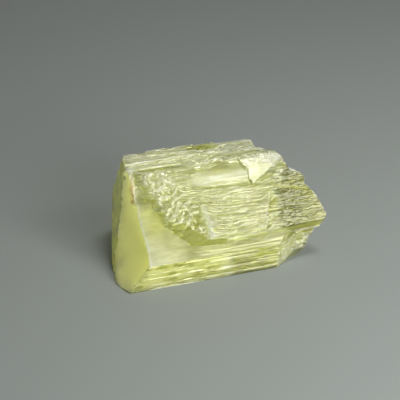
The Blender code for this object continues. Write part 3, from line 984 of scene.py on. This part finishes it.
@dataclass
class Crystal:
    """The hiddenite crystal: faces with their relief, and the two ends that close the prism."""

    section: Section = field(default_factory=Section)
    recess: Recess = Recess()
    left: LeftEnd = LeftEnd()
    right: RightEnd = RightEnd()
    rear_layers: tuple[GrowthLayer, ...] = (
        GrowthLayer(((5.0, 1.2), (19.5, 1.0), (22.0, 6.8), (8.5, 7.4)), 0.35, 0.25),
        GrowthLayer(((9.5, 2.4), (17.0, 2.2), (18.0, 5.0), (11.0, 5.2)), 0.65, 0.30),
    )
    columns: int = 200
    end_rings: int = 30
    edge_width: float = 0.16
    corner_from_box: Pair = (1.95, 0.08)
    tone_step: float = 0.11

    def faces(self) -> dict[Face, LongFace]:
        """The form of each long face."""
        lower = RearFace(rough=Weave((STRIAE, MIDDLE), (1.0, 0.8), 90.0), layers=self.rear_layers)
        return dict(zip(Face, (Foot(), MainFace(), Crest(), RearFace(), lower, LongFace())))

    def relief(self, x: Array) -> Array:
        """Relief of every face, eased out at the edges where two faces meet.

        Args:
            x: Places along the crystal, as columns by rows: a row of the array for each step along
                it, with a value for each point of the section.

        Returns:
            Height above the faces, in the same shape.
        """
        section = self.section
        s = np.broadcast_to(section.s, x.shape)
        height = np.zeros(x.shape)
        for face, form in self.faces().items():
            mine = section.face == face.value
            height[:, mine] = form.relief(x[:, mine], s[:, mine])
        return height * ramp(section.edge, 0.0, self.edge_width)

    def tones(self, x: Array) -> Tones:
        """Tones of the whole wall: painted highlight in the frosted tone where the relief stands proud, painted
        shade in the dark olive tone where it sinks, and more of the frosted tone along the upper edges.

        Args:
            x: Places along the crystal, columns by rows.

        Returns:
            The share of each tone, by name, in the same shape as x.
        """
        section = self.section
        s = np.broadcast_to(section.s, x.shape)
        tones = {name: np.zeros(x.shape) for name in TONES}
        for face, form in self.faces().items():
            mine = section.face == face.value
            for name, share in form.tones(x[:, mine], s[:, mine]).items():
                tones[name][:, mine] = share
        height = self.relief(x)
        proud = (height - blurred(height, 4, 24)) / self.tone_step
        low_foot = (section.face == Face.FOOT.value) & (section.s < 2.0)
        above = np.exp(-section.edge / 0.12) * ~(low_foot | (section.face == Face.UNDERSIDE.value))
        # Painted highlight: the frosted tone rises where the relief stands above its softened self. It also
        # rises along the face edges.
        tones["frost_and_highlight"] += (0.22 * held(proud) + 0.4 * above) * (1.0 - 0.8 * held(tones["smoke"]))
        # Painted shade: the dark olive tone rises in the relief's hollows and creases.
        tones["deep_and_shade"] += 0.32 * held(-proud)
        return tones

    def wall(self) -> Array:
        """The long faces.

        Points run round the section and, in columns, from the left end to the right one. Each is
        moved out of its face by the relief, and below the ledge back to the recess's wall, which
        the underside is squeezed to meet; its column is a share of the way between the ends. The
        relief depends on the place along the crystal, so this is done three times.

        Returns:
            Points, as columns by rows by three.
        """
        section = self.section
        share = np.linspace(0.0, 1.0, self.columns)[:, None]
        y = np.broadcast_to(section.points[:, 0], (self.columns, len(section.s)))
        z = np.broadcast_to(section.points[:, 1], y.shape)
        under = section.face == Face.UNDERSIDE.value
        back = section.corners[-1][0]
        x = self.left.x(y, z) * (1.0 - share) + self.right.x(y, z) * share
        for _ in range(3):
            height = self.relief(x)
            pz = np.maximum(z + height * section.outward[:, 1], 0.0)
            py = y + height * section.outward[:, 0]
            recess = self.recess.wall(x, pz)
            below = (pz < self.recess.ceiling) & (py < self.recess.reach)
            squeezed = py + np.clip(recess, 0.0, None) * (1.0 - py / back)
            py = np.where(under, squeezed, np.where(below, np.maximum(py, recess), py))
            x = self.left.x(py, pz) * (1.0 - share) + self.right.x(py, pz) * share
        return np.stack([x, py, pz], axis=2)

    def end_cap(self, rim: Array, end: LeftEnd | RightEnd) -> Array:
        """One end of the prism: rings that shrink from the rim to the middle of the section.

        Args:
            rim: The wall's points at that end.
            end: The end's form.

        Returns:
            Points, as rings by rows by three, without the rim and the middle.
        """
        share = np.linspace(1.0, 0.0, self.end_rings + 1)[1:-1, None]
        middle = self.section.middle
        y = middle[0] + (rim[:, 1] - middle[0]) * share
        z = middle[1] + (rim[:, 2] - middle[1]) * share
        return np.stack([end.x(y, z), y, z], axis=2)

    def mesh(self) -> bpy.types.Mesh:
        """Join the wall and the ends in one closed mesh, in metres, with the tones on its points.

        Returns:
            The mesh, with its faces pointing out.
        """
        wall = self.wall()
        left = self.end_cap(wall[0], self.left)[::-1]
        right = self.end_cap(wall[-1], self.right)
        grid = np.concatenate([left, wall, right])
        y, z = (np.array([value]) for value in self.section.middle)
        middle = np.stack([np.concatenate([end.x(y, z), y, z]) for end in (self.left, self.right)])
        points = np.concatenate([grid.reshape(-1, 3), middle])
        index = np.arange(len(points) - 2).reshape(grid.shape[:2])
        after = np.roll(index, -1, axis=1)
        quads = np.stack([index[:-1], index[1:], after[1:], after[:-1]], axis=2).reshape(-1, 4)
        near = np.stack([index[0], after[0], np.full_like(index[0], len(points) - 2)], axis=1)
        far = np.stack([after[-1], index[-1], np.full_like(index[0], len(points) - 1)], axis=1)
        corner = np.array(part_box(NODE)[0]) / MM
        corner[:2] += self.corner_from_box
        corner[2] = 0.0
        mesh = bpy.data.meshes.new(NODE)
        mesh.from_pydata((points + corner) * MM, [], [*quads.tolist(), *near.tolist(), *far.tolist()])
        parts = [
            self.left.tones(left[..., 1], left[..., 2]), self.tones(wall[..., 0]),
            self.right.tones(right[..., 1], right[..., 2]), self.left.tones(y, z), self.right.tones(y, z),
        ]
        for name in TONES:
            shares = [part.get(name, 0.0 * part["frost_and_highlight"]).ravel() for part in parts]
            layer = mesh.attributes.new(name, "FLOAT", "POINT")
            layer.data.foreach_set("value", held(np.concatenate(shares)))
        return mesh

    def build(self) -> bpy.types.Object:
        """Make the crystal's object, shaded smooth up to its sharp edges.

        Returns:
            The crystal, in place of its plain solid.
        """
        crystal = placed("crystal_body", self.mesh())
        crystal.data.shade_smooth()
        crystal.data.set_sharp_from_angle(angle=SHARP_ANGLE)
        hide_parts(NODE)
        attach(crystal, "root")
        return crystal


# ---- Finish ----


@dataclass(frozen=True)
class Nodes:
    """The shader nodes of one tree, each added and joined to the others in one call."""

    tree: bpy.types.NodeTree

    def set(self, node: bpy.types.Node, values: dict[str | int, object]) -> bpy.types.Node:
        """Fill a node's inputs.

        Args:
            node: The node.
            values: A node's output, a number or a colour for each input's name or number.

        Returns:
            The node.
        """
        for key, value in values.items():
            socket = node.inputs[key]
            if isinstance(value, Socket):
                self.tree.links.new(value, socket)
            elif socket.type == "RGBA":
                socket.default_value = (*value, 1.0)
            else:
                socket.default_value = value
        return node

    def add(self, kind: str, values: dict[str | int, object]) -> bpy.types.Node:
        """Add a node with its inputs filled."""
        return self.set(self.tree.nodes.new("ShaderNode" + kind), values)

    def maths(self, operation: str, *values: object, clamped: bool = False) -> Socket:
        """Add one sum.

        Args:
            operation: Blender's name of the sum.
            values: Its values, each a socket or a number.
            clamped: True to hold the result between 0 and 1.

        Returns:
            The result.
        """
        node = self.add("Math", dict(enumerate(values)))
        node.operation = operation
        node.use_clamp = clamped
        return node.outputs[0]

    def blend(self, factor: Socket, below: object, above: object) -> Socket:
        """Mix one number or colour over another.

        Args:
            factor: Share of the upper one.
            below: The lower one, a socket or plain.
            above: The upper one, plain.

        Returns:
            The result.
        """
        kind, first, result = ("RGBA", 6, 2) if isinstance(above, tuple) else ("FLOAT", 2, 0)
        node = self.add("Mix", {0: factor, first: below, first + 1: above})
        node.data_type = kind
        return node.outputs[result]

    def noise(self, cells: Triple, detail: float, rough: float) -> Socket:
        """Add a noise on Object coordinates.

        Args:
            cells: Cells per metre along x, y and z.
            detail: How many finer layers the noise has.
            rough: Strength of the finer layers.

        Returns:
            The noise's value.
        """
        place = self.add("TexCoord", {}).outputs["Object"]
        scaled = self.add("Mapping", {"Vector": place, "Scale": cells}).outputs["Vector"]
        values = {"Vector": scaled, "Scale": 1.0, "Detail": detail, "Roughness": rough}
        return self.add("TexNoise", values).outputs["Fac"]


@dataclass(frozen=True)
class Tone:
    """One of the looks that the stone takes on in places."""

    name: str
    colour: Triple
    clearness: float
    roughness: float


@dataclass(frozen=True)
class SpodumeneFinish:
    """Clear yellow-green spodumene with its frosted, milky, dark olive, smoky and iron-stained places; the
    frosted and milky tones also carry painted highlights, and the dark olive tone painted shade.
    """

    clear: Tone = Tone("clear", (0.96, 0.98, 0.40), 0.95, 0.03)
    haze: Tone = Tone("haze", (0.95, 0.98, 0.48), 0.80, 0.08)
    # The milky and frosted tones serve for the stone's own whiteness and for painted highlights; the dark olive
    # tone serves for its own colour and for painted shade.
    tones: tuple[Tone, ...] = (
        Tone("gold", (0.98, 0.99, 0.32), 0.60, 0.06),
        Tone("satin", (0.98, 1.00, 0.33), 0.46, 0.42),
        Tone("milk_and_highlight", (0.95, 1.00, 0.77), 0.30, 0.18),
        Tone("frost_and_highlight", (0.95, 1.00, 0.74), 0.60, 0.18),
        Tone("smoke", (0.17, 0.16, 0.07), 0.80, 0.10),
        Tone("deep_and_shade", (0.58, 0.60, 0.14), 0.75, 0.10),
        Tone("stain", (0.50, 0.36, 0.12), 0.20, 0.50),
    )
    absorption: Triple = (0.80, 0.87, 0.13)
    density: float = 20.0
    index: float = 1.66
    sheen_tint: Triple = (1.0, 1.0, 0.80)
    glow: float = 1.0
    glow_reach: Triple = (1.0, 1.0, 0.8)
    glow_scale: float = 0.0035
    grain: Triple = (520.0, 1900.0, 1900.0)
    cloud: Triple = (260.0, 480.0, 480.0)
    haze_start: float = 0.44
    haze_gain: float = 2.0
    break_up: Pair = (2.2, 0.6)
    grain_depth: float = 0.00012
    grain_strength: float = 0.6
    clear_grain: float = 0.12

    def material(self) -> bpy.types.Material:
        """Make the material.

        Every tone's share is its attribute, broken up by a grain that is drawn out along the
        crystal; each tone in turn is mixed over the ones before it in colour, clearness and
        roughness. The grain also lifts the surface as a bump where the frosted tone lies, painted highlight
        included.

        Returns:
            The finished material.
        """
        material = bpy.data.materials.new("clear_spodumene")
        material.use_nodes = True
        nodes = Nodes(material.node_tree)
        grain, cloud = nodes.noise(self.grain, 3.0, 0.5), nodes.noise(self.cloud, 4.0, 0.55)
        uneven = nodes.maths("MULTIPLY_ADD", nodes.maths("MULTIPLY", grain, cloud), *self.break_up)
        haze = nodes.maths("SUBTRACT", cloud, self.haze_start)
        haze = nodes.maths("MULTIPLY", haze, self.haze_gain, clamped=True)
        shares = {tone.name: nodes.add("Attribute", {}) for tone in self.tones}
        factors = [haze]
        for name, share in shares.items():
            share.attribute_name = name
            factors.append(nodes.maths("MULTIPLY", share.outputs["Fac"], uneven, clamped=True))
        colour, clearness, roughness = self.clear.colour, self.clear.clearness, self.clear.roughness
        for factor, tone in zip(factors, (self.haze, *self.tones)):
            colour = nodes.blend(factor, colour, tone.colour)
            clearness = nodes.blend(factor, clearness, tone.clearness)
            roughness = nodes.blend(factor, roughness, tone.roughness)
        # The frosted tone's share, painted highlight included, sets where the grain's bump lies.
        frosted = nodes.maths("ADD", shares["frost_and_highlight"].outputs["Fac"], self.clear_grain)
        height = nodes.maths("MULTIPLY", frosted, grain)
        bump = {"Height": height, "Strength": self.grain_strength, "Distance": self.grain_depth}
        nodes.set(nodes.tree.nodes["Principled BSDF"], {
            "Base Color": colour,
            "Transmission Weight": clearness,
            "Roughness": roughness,
            "Normal": nodes.add("Bump", bump).outputs["Normal"],
            "IOR": self.index,
            "Specular Tint": self.sheen_tint,
            "Subsurface Weight": self.glow,
            "Subsurface Radius": self.glow_reach,
            "Subsurface Scale": self.glow_scale,
        })
        volume = nodes.add("VolumeAbsorption", {"Color": self.absorption, "Density": self.density})
        nodes.set(nodes.tree.nodes["Material Output"], {"Volume": volume.outputs["Volume"]})
        return material


# ---- Studio ----


@dataclass(frozen=True)
class SoftLight:
    """A square soft light that faces the crystal, in metres and watts."""

    name: str
    place: Triple
    size: float
    power: float

    def hang(self) -> None:
        """Hang the light, tipped from straight down and turned so that it looks at the origin."""
        data = bpy.data.lights.new(self.name, "AREA")
        data.size = self.size
        data.energy = self.power
        light = placed(self.name, data)
        light.location = self.place
        x, y, z = self.place
        light.rotation_euler = (math.atan2(math.hypot(x, y), z), 0.0, math.atan2(-y, -x) - math.pi / 2.0)


@dataclass
class Studio:
    """A plain floor, soft lights and the camera."""

    azimuth: float = -17.0
    elevation: float = 31.0
    distance: float = 130.0
    lens: float = 80.0
    sensor: float = 36.0
    clip_start: float = 0.005
    corner: Triple = (-14.85, -7.95, 0.0)
    corner_pixel: Pair = (130.0, 294.0)
    floor_size: float = 3.0
    floor_colour: Triple = (0.256, 0.279, 0.260)
    floor_roughness: float = 0.6
    floor_drop: float = 0.00002
    wall_light: float = 3.0
    ceiling_light: float = 0.06
    wall_top: float = 0.35
    left_share: float = 0.65
    lights: tuple[SoftLight, ...] = (
        SoftLight("key", (0.14, -0.13, 0.17), 0.08, 0.16),
        SoftLight("front", (0.055, -0.14, 0.045), 0.12, 0.30),
        SoftLight("top", (0.04, -0.02, 0.22), 0.06, 0.19),
    )

    def place_camera(self) -> None:
        """Place the camera so that the crystal's front corner falls on its pixel.

        It stands back from the corner along its own line of sight, and is then moved aside and up
        by the pixel's distance from the middle of the image.
        """
        turn, tip = math.radians(self.azimuth), math.radians(self.elevation)
        back = np.array([math.sin(turn) * math.cos(tip), -math.cos(turn) * math.cos(tip), math.sin(tip)])
        right = np.array([math.cos(turn), math.sin(turn), 0.0])
        pixel = self.sensor / self.lens / IMAGE_WIDTH * self.distance
        aside, below = ((place - IMAGE_WIDTH / 2) * pixel for place in self.corner_pixel)
        place = np.array(self.corner) + back * self.distance - right * aside + np.cross(back, right) * below
        data = bpy.data.cameras.new("camera")
        data.lens = self.lens
        data.sensor_width = self.sensor
        data.clip_start = self.clip_start
        camera = placed("camera", data)
        camera.location = place * MM
        camera.rotation_euler = (math.radians(90.0 - self.elevation), 0.0, turn)
        bpy.context.scene.camera = camera

    def lay_floor(self) -> None:
        """Lay the plain floor."""
        half = self.floor_size / 2.0
        corners = [(half * x, half * y, -self.floor_drop) for x, y in ((-1, -1), (1, -1), (1, 1), (-1, 1))]
        mesh = bpy.data.meshes.new("floor")
        mesh.from_pydata(corners, [], [(0, 1, 2, 3)])
        material = bpy.data.materials.new("floor")
        material.use_nodes = True
        nodes = Nodes(material.node_tree)
        shader = nodes.tree.nodes["Principled BSDF"]
        nodes.set(shader, {"Base Color": self.floor_colour, "Roughness": self.floor_roughness})
        mesh.materials.append(material)
        placed("floor", mesh)

    def light_walls(self) -> None:
        """Surround the stage with soft walls, dimmer on the left, under a darker ceiling."""
        world = bpy.data.worlds.new("surroundings")
        world.use_nodes = True
        nodes = Nodes(world.node_tree)
        way = nodes.add("TexCoord", {}).outputs["Generated"]
        parts = nodes.add("SeparateXYZ", {"Vector": way}).outputs
        wall = {"From Max": self.wall_top, "To Min": self.wall_light, "To Max": self.ceiling_light}
        up = nodes.add("MapRange", {"Value": parts["Z"], **wall}).outputs["Result"]
        side = nodes.add("MapRange", {"Value": parts["X"], "From Min": -1.0, "To Min": self.left_share})
        strength = nodes.maths("MULTIPLY", up, side.outputs["Result"])
        nodes.set(nodes.tree.nodes["Background"], {"Color": (1.0, 1.0, 1.0), "Strength": strength})
        bpy.context.scene.world = world

    def build(self) -> None:
        """Set up the camera, the floor, the lights and the walls."""
        self.place_camera()
        self.lay_floor()
        for light in self.lights:
            light.hang()
        self.light_walls()
        bpy.context.scene.view_settings.view_transform = "Standard"


def main() -> None:
    """Build the crystal and its studio in order, and report each piece."""
    logging.basicConfig(level=logging.INFO, format="%(name)s: %(message)s")
    crystal = Crystal().build()
    crystal.data.materials.append(SpodumeneFinish().material())
    triangles = sum(len(face.vertices) - 2 for face in crystal.data.polygons)
    log.info("%s: %d triangles", crystal.name, triangles)
    studio = Studio()
    studio.build()
    log.info("studio: camera, floor and %d lights", len(studio.lights))


if __name__ == "__main__":
    main()
